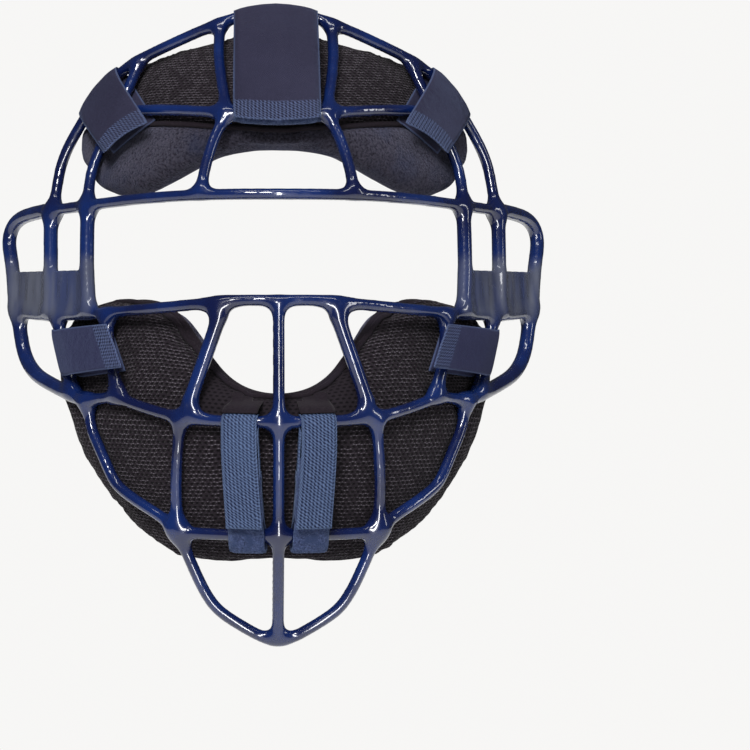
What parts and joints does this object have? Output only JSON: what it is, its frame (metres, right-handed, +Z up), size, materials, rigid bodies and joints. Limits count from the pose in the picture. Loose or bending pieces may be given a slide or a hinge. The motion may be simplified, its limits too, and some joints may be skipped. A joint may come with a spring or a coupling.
{
  "type": "catchers mask",
  "caption": "Catcher's mask: coated wire cage with an eye port, a forehead pad and a chin and cheek pad, held by hook-and-loop straps that peel open.",
  "frame": {"origin": "middle of the wearer's head, level with the cheeks, which is where the mask is worn", "axes": "+Z up, +Y towards the wearer's head, so the cage's front faces -Y; left is -X, as seen from in front"},
  "size_m": [0.2654, 0.1492, 0.3009],
  "materials": {
    "frame_coating": "thick glossy navy coating",
    "mesh_cover": "black and navy spacer mesh",
    "pad_foam": "soft closed-cell foam",
    "plush_lining": "short navy plush",
    "edge_binding": "navy folded binding",
    "strap_tape": "slate navy woven hook tape back",
    "strap_tape_blue": "navy blue woven hook tape back",
    "loop_tape": "brushed navy loop tape",
    "hook_tape": "moulded navy hook field"
  },
  "bodies": {
    "mask": {"crown_rim": "frame_coating", "crown_cross_bar": "frame_coating", "brow_bar": "frame_coating", "cheek_bar": "frame_coating", "mouth_bar": "frame_coating", "chin_cross_bar": "frame_coating", "chin_loop": "frame_coating", "centre_bar": "frame_coating", "ear_rail_left": "frame_coating", "ear_rail_right": "frame_coating", "crown_upright_left": "frame_coating", "crown_upright_right": "frame_coating", "crown_side_left": "frame_coating", "crown_side_right": "frame_coating", "temple_post_left": "frame_coating", "temple_post_right": "frame_coating", "eye_post_left": "frame_coating", "eye_post_right": "frame_coating", "temple_plate_left": "frame_coating", "temple_plate_right": "frame_coating", "nose_bar_left": "frame_coating", "nose_bar_right": "frame_coating", "cheek_post_left": "frame_coating", "cheek_post_right": "frame_coating", "cheek_upright_left": "frame_coating", "cheek_upright_right": "frame_coating", "jaw_upright_left": "frame_coating", "jaw_upright_right": "frame_coating", "jaw_rim_left": "frame_coating", "jaw_rim_right": "frame_coating", "upper_pad_cover": "mesh_cover", "upper_pad_foam": "pad_foam", "upper_pad_lining": "plush_lining", "upper_pad_binding": "edge_binding", "lower_pad_cover": "mesh_cover", "lower_pad_foam": "pad_foam", "lower_pad_lining": "plush_lining", "lower_pad_binding": "edge_binding", "crown_strap_loop": "loop_tape", "brow_strap_left_loop": "loop_tape", "brow_strap_right_loop": "loop_tape", "cheek_strap_left_loop": "loop_tape", "cheek_strap_right_loop": "loop_tape", "chin_strap_left_loop": "loop_tape", "chin_strap_right_loop": "loop_tape"},
    "crown_strap_flap": {"crown_strap_flap": "strap_tape", "crown_strap_hook": "hook_tape"},
    "brow_strap_left_flap": {"brow_strap_left_flap": "strap_tape", "brow_strap_left_hook": "hook_tape"},
    "brow_strap_right_flap": {"brow_strap_right_flap": "strap_tape", "brow_strap_right_hook": "hook_tape"},
    "cheek_strap_left_flap": {"cheek_strap_left_flap": "strap_tape_blue", "cheek_strap_left_hook": "hook_tape"},
    "cheek_strap_right_flap": {"cheek_strap_right_flap": "strap_tape_blue", "cheek_strap_right_hook": "hook_tape"},
    "chin_strap_left_flap": {"chin_strap_left_flap": "strap_tape_blue", "chin_strap_left_hook": "hook_tape"},
    "chin_strap_right_flap": {"chin_strap_right_flap": "strap_tape_blue", "chin_strap_right_hook": "hook_tape"}
  },
  "joints": [
    {"name": "crown_strap_open", "type": "hinge", "parent": "mask", "child": "crown_strap_flap", "pos_m": [0, -0.006, 0.148], "axis": [-1, 0, 0], "range_deg": [0, 110]},
    {"name": "brow_strap_left_open", "type": "hinge", "parent": "mask", "child": "brow_strap_left_flap", "pos_m": [-0.08225, 0.01629, 0.11292], "axis": [-0.6192, 0.2293, -0.751], "range_deg": [0, 110]},
    {"name": "brow_strap_right_open", "type": "hinge", "parent": "mask", "child": "brow_strap_right_flap", "pos_m": [0.08225, 0.01629, 0.11292], "axis": [-0.6192, -0.2293, 0.751], "range_deg": [0, 110]},
    {"name": "cheek_strap_left_open", "type": "hinge", "parent": "mask", "child": "cheek_strap_left_flap", "pos_m": [-0.09934, -0.01341, -0.01375], "axis": [0.2223, -0.4327, -0.8737], "range_deg": [0, 90]},
    {"name": "cheek_strap_right_open", "type": "hinge", "parent": "mask", "child": "cheek_strap_right_flap", "pos_m": [0.09934, -0.01341, -0.01375], "axis": [0.2223, 0.4327, 0.8737], "range_deg": [0, 90]},
    {"name": "chin_strap_left_open", "type": "hinge", "parent": "mask", "child": "chin_strap_left_flap", "pos_m": [-0.017, -0.08584, -0.04335], "axis": [-0.9697, 0.2436, 0.0198], "range_deg": [0, 110]},
    {"name": "chin_strap_right_open", "type": "hinge", "parent": "mask", "child": "chin_strap_right_flap", "pos_m": [0.017, -0.08584, -0.04335], "axis": [-0.9697, -0.2436, -0.0198], "range_deg": [0, 110]}
  ]
}
